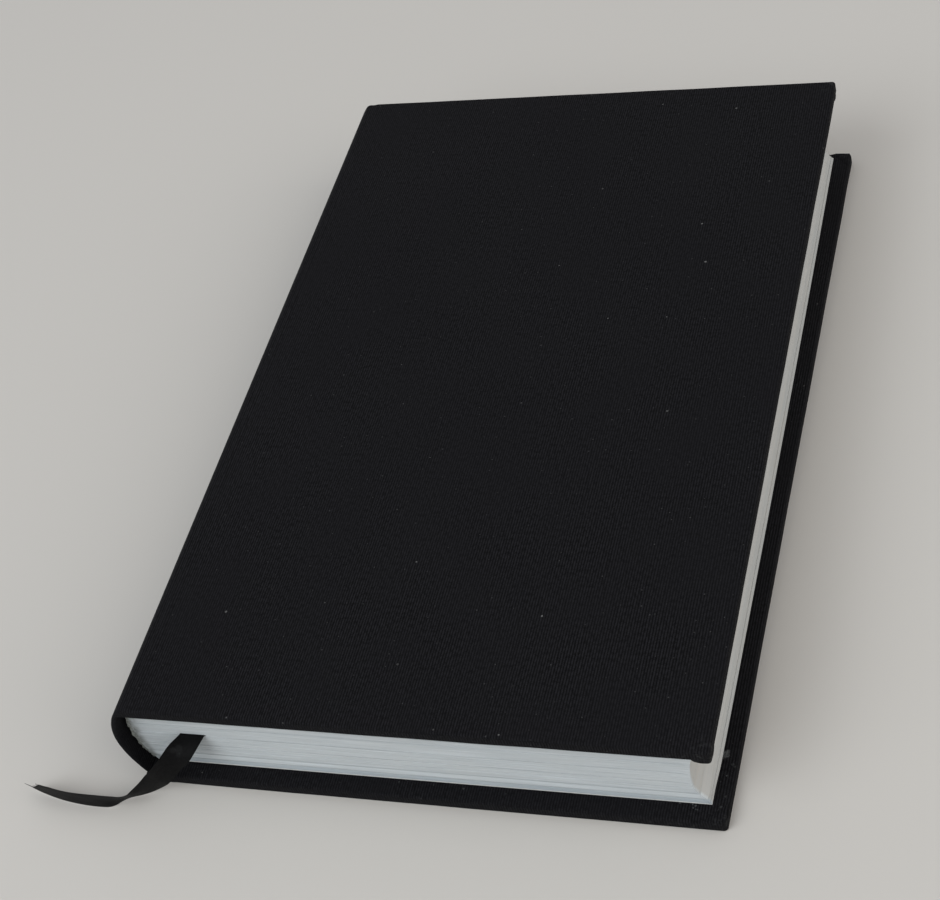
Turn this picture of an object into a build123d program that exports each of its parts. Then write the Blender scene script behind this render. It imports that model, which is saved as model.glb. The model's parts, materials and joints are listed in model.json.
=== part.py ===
"""A case-bound book that lies closed on its back cover, with a ribbon marker out of its tail.

Millimetres. +X runs from the spine to the fore-edge, +Y from the tail to the head and +Z from the back cover
to the front cover. The origin is under the middle of the closed case.
"""

import os
from math import asin, atan2, degrees, sqrt

from build123d import *

# The closed case
cover_height = 190.0
case_width = 127.0
book_thickness = 26.0
square = 3.2

# Layers of the case
cloth_thickness = 0.3
board_thickness = 2.1
strip_thickness = 0.6
glue_line = 0.05

# Edges and corners of the covers
cover_corner_radius = 0.9
cover_edge_radius = 0.4
turn_in = 15.0
corner_fold_leg = 5.0
corner_fold_thickness = 1.0
corner_fold_edge_radius = 0.3

# Joints between the covers and the spine
joint_from_shoulder = 0.9
joint_to_board = 0.9
groove_depth = 0.3
hinge_gap = 0.3

# Rounded spine
spine_upper_radius = 19.8
spine_lower_radius = 24.0
shoulder_radius = 1.8
shoulder_drop = 0.15
strip_width = 15.0
hollow_gap = 0.95

# Leaves
pastedown_thickness = 0.15
page_clearance = 0.05
rounding_height = 10.2
back_upper_radius = 40.0
back_lower_radius = 17.0
fore_edge_upper_radius = 40.0
fore_edge_lower_radius = 10.5
lining_thickness = 0.35
lining_margin = 0.8
gathering_count = 12
gathering_notch_depth = 0.3
gathering_notch_height = 0.12

# Ribbon marker
ribbon_width = 5.4
ribbon_thickness = 0.3
ribbon_side_clearance = 0.25
ribbon_face_clearance = 0.06
ribbon_top_from_back = 9.0
ribbon_top_margin = 8.0

# Middle of the ribbon's free stretch, from the tail of the leaves to its cut end
ribbon_route = [
    (-46.85, -91.8, 13.5),
    (-48.3, -94.8, 13.05),
    (-50.3, -97.0, 11.8),
    (-53.4, -98.9, 8.6),
    (-57.1, -99.4, 5.1),
    (-60.6, -100.3, 2.95),
    (-63.5, -101.7, 2.75),
    (-66.6, -102.8, 2.95),
    (-70.7, -103.1, 2.95),
    (-76.2, -102.7, 2.9),
    (-82.0, -101.9, 3.1),
    (-87.0, -101.0, 3.3),
]
# How far the ribbon turns about its own run at those points, in degrees, from lying flat to standing on edge
ribbon_turns = [0, 30, 62, 86, 102, 111, 116, 102, 92, 90, 91, 92]

# Places that follow from the sizes
cut_overrun = 1.0
half_height = cover_height / 2
spine_x = -case_width / 2
fore_x = case_width / 2
middle_z = book_thickness / 2
cover_thickness = cloth_thickness + board_thickness + cloth_thickness
inner_face_z = cloth_thickness + board_thickness
leaf_half_height = half_height - square
leaf_fore_x = fore_x - square
block_low_z = cover_thickness + pastedown_thickness + page_clearance
block_high_z = book_thickness - block_low_z
spine_build = cloth_thickness + glue_line + strip_thickness + glue_line + cloth_thickness
lining_x = spine_x + spine_build + hollow_gap
block_back_x = lining_x + lining_thickness + glue_line
shoulder_z = book_thickness - shoulder_drop - shoulder_radius


def crest_x(radius):
    """Where the shoulder of a rounded spine is highest."""
    return spine_x + radius - sqrt((radius - shoulder_radius) ** 2 - (shoulder_z - middle_z) ** 2)


hinge_x = crest_x(spine_upper_radius) + joint_from_shoulder
board_x = hinge_x + joint_to_board


def slab(x_low, x_high, y_half, z_low, z_high):
    """A block between two X places and two Z places, centred on Y."""
    width = x_high - x_low
    place = Pos((x_low + x_high) / 2, 0, z_low)
    return place * Box(width, 2 * y_half, z_high - z_low, align=(Align.CENTER, Align.CENTER, Align.MIN))


def along_y(face, y_low, y_high):
    """Extrudes a face of the XZ plane from one Y place to another."""
    return Pos(0, y_high, 0) * extrude(face, y_high - y_low)


def cover_plate(inset, z_low, z_high):
    """A cover's plan, inset from its edges, with round fore-edge corners."""
    body = slab(board_x, fore_x - inset, half_height - inset, z_low, z_high)
    corners = body.edges().filter_by(Axis.Z).group_by(Axis.X)[-1]
    return fillet(corners, cover_corner_radius - inset)


def rounded_rims(plate, edge_radius):
    """A plate with its head, tail and fore-edge rounded on both faces, and its spine side left square."""
    levels = plate.edges().filter_by(Axis.Z, reverse=True).group_by(Axis.Z)
    rims = levels[0].sort_by(Axis.X)[1:] + levels[-1].sort_by(Axis.X)[1:]
    return fillet(rims, edge_radius)


def smooth_step(start, end):
    """Two arcs that lead from one level to another, flat at both ends."""
    middle = ((start[0] + end[0]) / 2, (start[1] + end[1]) / 2)
    run = end[0] - start[0]
    return [TangentArc(start, middle, tangent=(run, 0)), TangentArc(end, middle, tangent=(-run, 0))]


def board():
    """The back cover's board, cut square."""
    return cover_plate(cloth_thickness, cloth_thickness, inner_face_z)


def corner_folds():
    """The folded cloth inside a cover's two fore-edge corners."""
    plate = cover_plate(0, 0, cover_thickness + corner_fold_thickness)
    outline = rounded_rims(plate, corner_fold_edge_radius)
    leg = corner_fold_leg
    folds = Part()
    for side in (-1, 1):
        corner_y = side * half_height
        corners = [(fore_x, corner_y), (fore_x - leg, corner_y), (fore_x, corner_y - side * leg)]
        fold = extrude(Pos(0, 0, inner_face_z) * make_face(Polyline(*corners, close=True)), cover_thickness)
        folds += fold & outline
    return folds


def joint_lip():
    """The cloth that runs from the board down into the joint's groove."""
    end_x = hinge_x + hinge_gap / 2
    outer = smooth_step((board_x, 0), (end_x, groove_depth))
    inner = smooth_step((board_x, cloth_thickness), (end_x, groove_depth + cloth_thickness))
    sides = [
        Line((board_x, 0), (board_x, cloth_thickness)),
        Line((end_x, groove_depth), (end_x, groove_depth + cloth_thickness)),
    ]
    face = Plane.XZ * make_face(outer + inner + sides)
    return along_y(face, -half_height, half_height)


def cover_cloth():
    """The back cover's cloth, turned in over three edges of its board."""
    skin = rounded_rims(cover_plate(0, 0, cover_thickness), cover_edge_radius) + corner_folds()
    window = slab(
        board_x - cut_overrun,
        fore_x - turn_in,
        half_height - turn_in,
        inner_face_z,
        cover_thickness + cut_overrun,
    )
    return skin - board() - window + joint_lip()


def pastedown():
    """The leaf glued inside the back cover, which steps down from the turned-in cloth to the board."""
    top = cover_thickness + pastedown_thickness
    sheet = slab(board_x, leaf_fore_x, leaf_half_height, inner_face_z, top)
    window_x = fore_x - turn_in
    window_half = half_height - turn_in
    under = slab(board_x - cut_overrun, fore_x, half_height, inner_face_z, cover_thickness)
    under -= slab(board_x - cut_overrun, window_x, window_half, inner_face_z, cover_thickness)
    over = slab(
        board_x - cut_overrun,
        window_x - pastedown_thickness,
        window_half - pastedown_thickness,
        inner_face_z + pastedown_thickness,
        top,
    )
    return sheet - under - over


def to_front(part):
    """The same piece on the front cover."""
    return mirror(part, about=Plane.XY.offset(middle_z))


def round_band(apex, radius, up, thickness, reach):
    """Half of a rounded back: a band from its apex up or down to a reach, thickening towards +X."""
    turn = -up * degrees(asin(reach / radius))
    outer = JernArc(apex, (0, up), radius, turn)
    inner = JernArc((apex[0] + thickness, apex[1]), (0, up), radius - thickness, turn)
    sides = [Line(outer @ 0, inner @ 0), Line(outer @ 1, inner @ 1)]
    return Plane.XZ * make_face([outer, inner] + sides)


def spine_band(inset, thickness, reach, y_low, y_high):
    """A layer of the rounded spine at a given depth under its cloth."""
    band = Part()
    for radius, up in ((spine_upper_radius, 1), (spine_lower_radius, -1)):
        face = round_band((spine_x + inset, middle_z), radius - inset, up, thickness, reach)
        band += along_y(face, y_low, y_high)
    return band


def spine_skin_half(radius, up):
    """Half of the spine's cloth: the round back, the shoulder and the lip in the joint's groove."""
    crest_z = middle_z - shoulder_drop
    start_x = crest_x(radius)
    turn = degrees(atan2(shoulder_z - middle_z, spine_x + radius - start_x))
    end_x = hinge_x - hinge_gap / 2
    edges = []
    ends = []
    for depth in (0, cloth_thickness):
        back = JernArc((spine_x + depth, middle_z), (0, up), radius - depth, -up * turn)
        crest = JernArc(back @ 1, back % 1, shoulder_radius - depth, -up * (90 - turn))
        lip_end = (end_x, middle_z + up * (middle_z - groove_depth - depth))
        lip_start = (start_x, middle_z + up * (crest_z - depth))
        edges += [back, crest] + smooth_step(lip_start, lip_end)
        ends.append((back @ 0, lip_end))
    edges += [Line(ends[0][0], ends[1][0]), Line(ends[0][1], ends[1][1])]
    return Plane.XZ * make_face(edges)


def spine_cloth():
    """The spine's cloth, folded over the ends of its strip and turned in."""
    skin = Part()
    for radius, up in ((spine_upper_radius, 1), (spine_lower_radius, -1)):
        skin += along_y(spine_skin_half(radius, up), -half_height, half_height)
    reach = strip_width / 2
    inner_layer = spine_build - cloth_thickness
    for y_low, y_high, fold_low, fold_high in (
        (-half_height, turn_in - half_height, -half_height, cloth_thickness - half_height),
        (half_height - turn_in, half_height, half_height - cloth_thickness, half_height),
    ):
        skin += spine_band(inner_layer, cloth_thickness, reach, y_low, y_high)
        skin += spine_band(0, spine_build, reach, fold_low, fold_high)
    return skin


def spine_strip():
    """The card that stiffens the spine."""
    half = half_height - cloth_thickness - glue_line
    return spine_band(cloth_thickness + glue_line, strip_thickness, strip_width / 2, -half, half)


def arc_drop(radius, reach):
    """How far an arc falls away from its tangent at a reach from where they touch."""
    return radius - sqrt(radius**2 - reach**2)


def fore_edge_x(z):
    """Where the hollow fore-edge lies at a height."""
    deepest = arc_drop(fore_edge_lower_radius, rounding_height - block_low_z)
    radius = fore_edge_upper_radius if z > rounding_height else fore_edge_lower_radius
    return leaf_fore_x - deepest + arc_drop(radius, z - rounding_height)


def ribbon_seat(side_room, face_room):
    """The stretch between the leaves, with room beside and above the ribbon."""
    half_width = ribbon_width / 2 + side_room
    tail_x, tail_y, seat_z = ribbon_route[0]
    head_x = block_back_x + ribbon_top_from_back
    head_y = leaf_half_height - ribbon_top_margin + side_room
    corners = [
        (tail_x - half_width, tail_y),
        (tail_x + half_width, tail_y),
        (head_x + half_width, head_y),
        (head_x - half_width, head_y),
    ]
    height = ribbon_thickness + 2 * face_room
    face = Pos(0, 0, seat_z - height / 2) * make_face(Polyline(*corners, close=True))
    return extrude(face, height)


def page_block():
    """The leaves as one solid: a rounded back, a hollow fore-edge and the lines between the gatherings."""
    outline = []
    for back_radius, fore_radius, up, reach in (
        (back_upper_radius, fore_edge_upper_radius, 1, block_high_z - rounding_height),
        (back_lower_radius, fore_edge_lower_radius, -1, rounding_height - block_low_z),
    ):
        back_turn = -up * degrees(asin(reach / back_radius))
        back = JernArc((block_back_x, rounding_height), (0, up), back_radius, back_turn)
        fore_turn = -up * degrees(asin(reach / fore_radius))
        fore = JernArc((fore_edge_x(rounding_height), rounding_height), (0, up), fore_radius, fore_turn)
        outline += [back, fore, Line(back @ 1, fore @ 1)]
    block = along_y(Plane.XZ * make_face(outline), -leaf_half_height, leaf_half_height)
    pitch = (block_high_z - block_low_z) / gathering_count
    for index in range(1, gathering_count):
        low = block_low_z + index * pitch - gathering_notch_height / 2
        high = low + gathering_notch_height
        core_x = fore_edge_x((low + high) / 2) - gathering_notch_depth
        ring = slab(block_back_x, fore_x, half_height, low, high)
        ring -= slab(spine_x, core_x, leaf_half_height - gathering_notch_depth, low, high)
        block -= ring
    return block - ribbon_seat(ribbon_side_clearance, ribbon_face_clearance)


def spine_lining():
    """The lining glued over the back of the leaves."""
    lining = Part()
    outset = lining_thickness + glue_line
    for radius, up, end_z in (
        (back_upper_radius, 1, block_high_z - lining_margin),
        (back_lower_radius, -1, block_low_z + lining_margin),
    ):
        reach = abs(end_z - rounding_height)
        face = round_band((lining_x, rounding_height), radius + outset, up, lining_thickness, reach)
        lining += along_y(face, -leaf_half_height, leaf_half_height)
    return lining


def ribbon_section(index):
    """The ribbon's cut across one point of its route."""
    points = [Vector(*point) for point in ribbon_route]
    before = points[max(index - 1, 0)]
    after = points[min(index + 1, len(points) - 1)]
    run = (after - before).normalized() if index else Vector(0, -1, 0)
    level = run.cross(Vector(0, 0, 1)).normalized()
    across = level.rotate(Axis((0, 0, 0), tuple(run)), -ribbon_turns[index])
    plane = Plane(points[index], x_dir=across, z_dir=run)
    return plane * Rectangle(ribbon_width, ribbon_thickness)


def ribbon_marker():
    """The ribbon: flat between the leaves, then down from the tail and along the surface under the book."""
    sections = [ribbon_section(index) for index in range(len(ribbon_route))]
    return ribbon_seat(0, 0) + loft(sections)


parts = {
    "page_block": page_block(),
    "spine_lining": spine_lining(),
    "spine_strip": spine_strip(),
    "spine_cloth": spine_cloth(),
    "ribbon_marker": ribbon_marker(),
    "back_board": board(),
    "back_cover_cloth": cover_cloth(),
    "back_pastedown": pastedown(),
    "front_board": to_front(board()),
    "front_cover_cloth": to_front(cover_cloth()),
    "front_pastedown": to_front(pastedown()),
}

os.makedirs("parts", exist_ok=True)
for node, part in parts.items():
    export_step(part, f"parts/{node}.step")
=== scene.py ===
"""Looks of a cloth-bound book that lies closed on its back cover, with a ribbon marker out of its tail.

Metres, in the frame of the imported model: +X runs from the spine to the fore-edge, +Y from the tail to the
head and +Z from the back cover to the front cover.
"""

import json
import random
from math import atan2, cos, exp, pi, sin, sqrt

import bmesh
import bpy
from mathutils import Matrix, Quaternion, Vector, noise


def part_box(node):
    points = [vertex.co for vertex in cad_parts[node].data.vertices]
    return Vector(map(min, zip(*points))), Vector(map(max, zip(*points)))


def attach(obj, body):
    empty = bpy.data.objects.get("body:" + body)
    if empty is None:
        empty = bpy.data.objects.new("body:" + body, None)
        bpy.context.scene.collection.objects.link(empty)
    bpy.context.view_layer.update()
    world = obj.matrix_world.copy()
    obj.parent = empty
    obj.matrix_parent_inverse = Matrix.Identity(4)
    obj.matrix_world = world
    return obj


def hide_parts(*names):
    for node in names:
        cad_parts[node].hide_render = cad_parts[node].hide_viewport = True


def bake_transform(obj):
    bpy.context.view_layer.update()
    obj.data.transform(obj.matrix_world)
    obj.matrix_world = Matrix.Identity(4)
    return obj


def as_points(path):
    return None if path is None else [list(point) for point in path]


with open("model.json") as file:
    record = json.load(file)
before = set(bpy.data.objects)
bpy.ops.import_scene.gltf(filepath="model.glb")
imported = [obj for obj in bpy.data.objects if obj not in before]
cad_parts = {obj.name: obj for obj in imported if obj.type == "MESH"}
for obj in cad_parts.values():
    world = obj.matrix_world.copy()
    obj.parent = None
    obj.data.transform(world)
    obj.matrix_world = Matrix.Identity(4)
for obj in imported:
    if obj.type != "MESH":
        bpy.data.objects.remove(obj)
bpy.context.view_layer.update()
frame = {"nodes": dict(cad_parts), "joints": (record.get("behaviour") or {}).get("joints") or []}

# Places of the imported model
case_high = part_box("front_cover_cloth")[1]
board_low, board_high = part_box("front_board")
block_low, block_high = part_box("page_block")
spine_low, spine_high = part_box("spine_cloth")
strip_low, strip_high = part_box("spine_strip")
lining_low, lining_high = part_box("spine_lining")
hinge_x = frame["joints"][0]["pos_m"][0]
book_thickness = case_high.z
middle_z = book_thickness / 2
half_height = case_high.y
fore_x = case_high.x
board_x = board_low.x
spine_x = spine_low.x
leaf_half_height = block_high.y
leaf_fore_x = block_high.x
block_back_x = block_low.x

# Case cloth
cloth_thickness = case_high.z - board_high.z
cover_thickness = board_high.z - board_low.z + 2 * cloth_thickness
cover_middle = cover_thickness / 2
cover_edge_radius = 0.0004
cover_corner_radius = 0.0009
inner_start = 2 * fore_x + cover_thickness + (pi - 4) * cover_edge_radius
turn_in = 0.015
turn_in_edge = 0.00025
window_depth = 0.00025
corner_fold_leg = {"front": 0.0042, "back": 0.005}
corner_fold_rise = {"front": 0.0014, "back": 0.0003}
corner_fold_lip = {"front": 0.0004, "back": -0.00002}
corner_fold_slope = 0.0014
corner_fold_bevel = {"front": 0.0006, "back": 0.0002}
joint_thickness = 0.001
joint_edge_share = 0.45
joint_root_reach = 0.002
joint_lap = 0.0008
joint_lap_depth = 0.0004
groove_depth = 0.00016
crease_x = -0.0553
crease_lean = 0.0010
crease_depth = 0.00012
crease_half_width = 0.0005
shoulder_drop = middle_z - (spine_high.z - spine_low.z) / 2
shoulder_radius = 0.0018
spine_upper_radius = 0.0184
spine_lower_radius = 0.024
spine_build = 0.0013
spine_taper = 0.0025
edge_wobble = 0.00007
edge_wobble_pitch = 0.012

# How far the hand-made case lies askew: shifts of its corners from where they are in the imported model
spine_head_shift = -0.0005
front_fore_shift = 0.00055
back_fore_tail_shift = 0.0001
back_fore_head_shift = 0.0012
back_tail_overhang = 0.0007
back_corner_overhang = 0.0002
back_head_overhang = 0.0006

# Leaves
leaf_count = 132
leaves_in_gathering = 11
leaf_scatter = 0.00003
gathering_scatter = 0.00006
gathering_recess = 0.0002
gathering_recess_shares = (0.3, 1.2)
fore_scatter_share = 0.12
leaf_wave = 0.00002
leaf_wave_pitch = 0.03
leaf_head_lead = 0.0018
rounding_height = 0.0102
back_upper_radius = 0.040
back_lower_radius = 0.017
fore_edge_hollow = 0.0027
fore_edge_upper_radius = 0.028
fore_edge_lower_radius = 0.0104
fore_edge_bow = 0.0003
loose_group_leaves = (9, 22)
loose_group_round = 0.0004
loose_group_reach = 0.010
loose_round_reach = 0.0015
fore_crease_leaf = 3
fore_crease_depth = 0.0002
glue_and_shade_reach = 0.0022

# Setback of the fore-edge at its tail corner, where the lowest leaves splay:
# (height above the lowest leaf, setback)
splayed_corner = [
    (0.0, 0.0),
    (0.0014, 0.0005),
    (0.0033, 0.0018),
    (0.0042, 0.0022),
    (0.0051, 0.0026),
    (0.0064, 0.0027),
]

# Lining on the back of the leaves
lining_ragged = 0.0002
lining_lumps = 0.0004
lining_lump_pitch = 0.0016
lining_body_share = 0.8
lining_lump_share = 0.6
lining_fine_share = 0.4
lining_fine_ratio = 2.7
lining_rag_fine_share = 0.7
lining_rag_middle = 0.2
lining_end_rows = [0.0, 0.0002, 0.0006, 0.0012, 0.002, 0.004]

# Endpapers
endpaper_thickness = 0.00015
endpaper_hinge_thickness = 0.00004
endpaper_clearance = 0.00001
endpaper_dip_reach = 0.04

# Ribbon marker
ribbon_width = 0.0054
ribbon_thickness = 0.00026
ribbon_edge_share = 0.55
ribbon_edge_power = 6
ribbon_tongue = 0.003
ribbon_cup = 0.00012
ribbon_cup_middle = 0.4
ribbon_cut_slant = 0.0017
ribbon_cut_length = 0.006
ribbon_slot_side = 0.0003
ribbon_slot_depth = 0.0042
ribbon_bulge = 0.00012
ribbon_bulge_width = 0.006
ribbon_bulge_height = 0.0012
ribbon_route = [
    (-0.04685, -0.0918, 0.0135),
    (-0.04805, -0.0948, 0.01305),
    (-0.05005, -0.0970, 0.0118),
    (-0.0534, -0.0989, 0.0086),
    (-0.0571, -0.0994, 0.0051),
    (-0.0606, -0.1003, 0.00295),
    (-0.0635, -0.1017, 0.00275),
    (-0.0666, -0.1031, 0.00315),
    (-0.0707, -0.1031, 0.00285),
    (-0.0762, -0.1030, 0.0031),
    (-0.0820, -0.1019, 0.00295),
    (-0.0846, -0.1014, 0.0037),
]
ribbon_turns_deg = [0, 10, 75, 86, 102, 111, 126, 96, 94, 96, 95, 98]
fray_threads = 16
fray_length = 0.0009
fray_radius = 0.00004
fray_ripple_share = 0.25
fray_ripples = 9
fray_span_share = 0.95
fray_lean_shares = (0.35, 0.3)
fray_length_shares = (0.5, 1.3)
fray_tip_share = 0.4
fray_sides = 5
wisp_length = 0.0026
wisp_radius = 0.0001

# Camera: where the photograph was taken from
camera_place = (0.1420, -0.2737, 0.3176)
camera_right = (0.9378, 0.2392, -0.2516)
camera_up = (-0.0169, 0.7554, 0.6551)
camera_back = (0.3468, -0.6101, 0.7124)
image_width_px = 940
focal_length_px = 1910.945
sensor_width_mm = 36.0

# Fineness of the meshes: columns go round a piece and rows along it
joint_columns = 22
crease_columns = 16
face_columns = 28
rim_columns = 8
turn_in_columns = 6
window_columns = 24
end_rows = 5
corner_rows = 3
turn_in_rows = 5
long_rows = 40
spine_columns = 18
shoulder_columns = 6
spine_end_rows = 6
glue_columns = 6
slot_wall_share = 1e-4
tail_columns = 56
fore_columns = 56
fore_blend_columns = 3
fore_corner_columns = 16
fore_corner_blends = 40
head_columns = 48
back_columns = 12
lining_columns = 60
lining_rows = 30
endpaper_joint_columns = 20
endpaper_columns = 20
endpaper_edge_steps = 6
endpaper_rows = 30
ribbon_columns = 12
ribbon_tongue_rows = 4

weld_distance = 1e-7
crease_angle = 0.6
corner_wear_reach = 0.005
fore_blend_reach = 0.00025


# Meshes: a grid of faces bent into a tube or a sheet

def bent_grid(columns, rows, place, flat):
    """A grid whose points go to place(column, row), with flat(column, row) as its UV map."""
    bm = bmesh.new()
    bmesh.ops.create_grid(bm, x_segments=columns, y_segments=rows, size=0.5)
    layer = bm.loops.layers.uv.new("flat")
    spots = {}
    for vert in bm.verts:
        spots[vert] = (round((vert.co.x + 0.5) * columns), round((vert.co.y + 0.5) * rows))
    for face in bm.faces:
        for loop in face.loops:
            loop[layer].uv = flat(*spots[loop.vert])
    for vert, spot in spots.items():
        vert.co = place(*spot)
    return bm


def close_tube(bm):
    """Joins a tube's long sides and fills its two ends."""
    bmesh.ops.remove_doubles(bm, verts=bm.verts, dist=weld_distance)
    bmesh.ops.dissolve_degenerate(bm, edges=bm.edges, dist=weld_distance)
    layer = bm.loops.layers.uv.active
    rims = [edge for edge in bm.edges if edge.is_boundary]
    caps = bmesh.ops.holes_fill(bm, edges=rims)["faces"]
    for face in caps:
        for loop in face.loops:
            loop[layer].uv = (loop.vert.co.x, loop.vert.co.z)
    bmesh.ops.recalc_face_normals(bm, faces=bm.faces)
    return caps


def finish_piece(bm, name, materials):
    """Makes a bmesh a piece of the scene, smooth but for its creases."""
    mesh = bpy.data.meshes.new(name)
    bm.to_mesh(mesh)
    bm.free()
    for material in materials:
        mesh.materials.append(material)
    mesh.shade_smooth()
    mesh.set_sharp_from_angle(angle=crease_angle)
    piece = bpy.data.objects.new(name, mesh)
    bpy.context.scene.collection.objects.link(piece)
    return piece


def edge_fall(distance, radius):
    """How far a rounded edge falls back at a distance from the end of its piece."""
    if distance >= radius:
        return 0.0
    return radius - sqrt(radius**2 - (radius - distance) ** 2)


def ease(share):
    """A step from 0 to 1 that is level at both ends."""
    share = min(max(share, 0.0), 1.0)
    return share * share * (3 - 2 * share)


def spread(low, high, count):
    """Evenly spaced values, both ends included."""
    return [low + (high - low) * index / count for index in range(count + 1)]


# Case cloth

def groove_line(x, start_x):
    """Depth of the cloth's outer face in the joint, from the spine's shoulder to the board."""
    if x < hinge_x:
        share = ease((x - start_x) / (hinge_x - start_x))
        return shoulder_drop + (groove_depth - shoulder_drop) * share
    return groove_depth * (1 - ease((x - hinge_x) / (board_x - hinge_x)))


def crease_line(x, y):
    """Depth of the crease that was pressed beside the joint, which leans towards the spine at the head."""
    middle = crease_x - crease_lean * y / half_height
    return crease_depth * exp(-(((x - middle) / crease_half_width) ** 2))


def askew(x, y, side):
    """Where a point of the case lies on the real book, which isn't quite square."""
    along = (y + half_height) / (2 * half_height)
    across = (x - spine_x) / (fore_x - spine_x)
    shift = spine_head_shift * along
    lift = 0.0
    if side == "front":
        shift += front_fore_shift * across
    if side == "back":
        fore_shift = back_fore_tail_shift + (back_fore_head_shift - back_fore_tail_shift) * along
        shift += (fore_shift - shift) * across
        tail_overhang = back_tail_overhang + back_corner_overhang * across
        lift = back_head_overhang * across * along - tail_overhang * (1 - along)
    return x + shift, y + lift


def crest_x(radius):
    """Where the spine's shoulder is highest."""
    rise = middle_z - shoulder_drop - shoulder_radius
    return spine_x + radius - sqrt((radius - shoulder_radius) ** 2 - rise**2)


def cover_section(start_x):
    """Round a cover and its joint: (x, depth of the middle, offset from it, end radius)."""
    section = []
    joint_xs = spread(start_x, board_x, joint_columns)
    window_x = fore_x - turn_in
    rim_x = fore_x - cover_edge_radius
    crease_end_x = 2 * crease_x - board_x + crease_half_width
    face_xs = spread(board_x, crease_end_x, crease_columns)[:-1] + spread(crease_end_x, rim_x, face_columns)
    inner_xs = spread(rim_x, window_x + turn_in_edge, turn_in_columns)
    inner_xs += spread(window_x, board_x, window_columns)
    for x in joint_xs[:-1]:
        half = (cover_thickness - groove_line(x, start_x)) / 2
        section.append((x, cover_thickness - half, -half, cover_edge_radius))
    for x in face_xs[:-1]:
        section.append((x, cover_middle, -cover_middle, cover_edge_radius))
    for index in range(rim_columns + 1):
        angle = pi * index / rim_columns
        rim = cover_middle - cover_edge_radius + cover_edge_radius * abs(cos(angle))
        offset = -rim if index < rim_columns / 2 else rim
        section.append((rim_x + cover_edge_radius * sin(angle), cover_middle, offset, cover_edge_radius))
        if index == rim_columns / 2:
            flat = cover_middle - cover_edge_radius
            section[-1] = (fore_x, cover_middle, -flat, cover_edge_radius)
            section.append((fore_x, cover_middle, flat, cover_edge_radius))
    for x in inner_xs[1:]:
        section.append((x, cover_middle, cover_middle, cover_edge_radius))
    for x in list(reversed(joint_xs))[1:] + [start_x - joint_root_reach]:
        section.append((x, cover_middle, cover_middle, cover_edge_radius))
    section.append((start_x - joint_lap, shoulder_drop + joint_lap_depth, 0.0, cover_edge_radius))
    return section


def cover_rows():
    """Places along a cover, close together round its ends and at the edge of the turned-in cloth."""
    ends = [cover_edge_radius * (1 - cos(pi / 2 * index / end_rows)) for index in range(end_rows + 1)]
    ends += spread(cover_edge_radius, cover_corner_radius, corner_rows)[1:]
    ends += spread(cover_corner_radius, turn_in - turn_in_edge, turn_in_rows)[1:]
    ends.append(turn_in)
    rows = [distance - half_height for distance in ends]
    rows += spread(turn_in - half_height, half_height - turn_in, long_rows)[1:-1]
    return rows + [half_height - distance for distance in reversed(ends)]


def cover_wrap(side, material):
    """A cover's cloth with its turned-in edges and folded corners, as far as the spine's shoulder."""
    front = side == "front"
    radius = spine_upper_radius if front else spine_lower_radius
    section = cover_section(crest_x(radius))
    rows = cover_rows()
    seed = 3.0 if front else 8.0
    lengths = [0.0]
    for before, after in zip(section, section[1:] + section[:1]):
        step = Vector((after[0] - before[0], after[1] + after[2] - before[1] - before[2]))
        lengths.append(lengths[-1] + step.length)

    def narrowing(x, row):
        fall = edge_fall(half_height - abs(rows[row]), cover_corner_radius)
        return fall * max(x - board_x, 0.0) / (fore_x - board_x)

    def place(column, row):
        x, middle, offset, end_radius = section[column % len(section)]
        y = rows[row]
        distance = half_height - abs(y)
        x -= narrowing(x, row)
        recessed = board_x - weld_distance < x < fore_x - turn_in + turn_in_edge / 2
        inside = recessed and distance > turn_in - turn_in_edge / 2
        if offset == cover_middle and inside:
            offset -= window_depth
        half = abs(offset)
        fall = min(edge_fall(distance, end_radius), half)
        depth = middle + (offset - fall if offset > 0 else offset + fall)
        if offset < 0:
            depth += crease_line(x, y)
        wobble = Vector((x, y, seed)) / edge_wobble_pitch
        if distance < cover_corner_radius:
            y += edge_wobble * noise.noise(wobble)
        if x > fore_x - cover_corner_radius:
            x += edge_wobble * noise.noise(wobble + Vector((0, 0, seed)))
        return Vector((*askew(x, y, side), book_thickness - depth if front else depth))

    def flat(column, row):
        x, _, offset, _ = section[column % len(section)]
        shift = narrowing(x, row) if offset > 0 else -narrowing(x, row)
        return (lengths[column] + section[0][0] + shift, rows[row])

    bm = bent_grid(len(section), len(rows) - 1, place, flat)
    close_tube(bm)
    for end in (-1, 1):
        add_corner_fold(bm, end, side)
    piece = finish_piece(bm, f"{side}_cover_wrap", [material])
    mark_corners(piece, side)
    return piece


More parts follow.
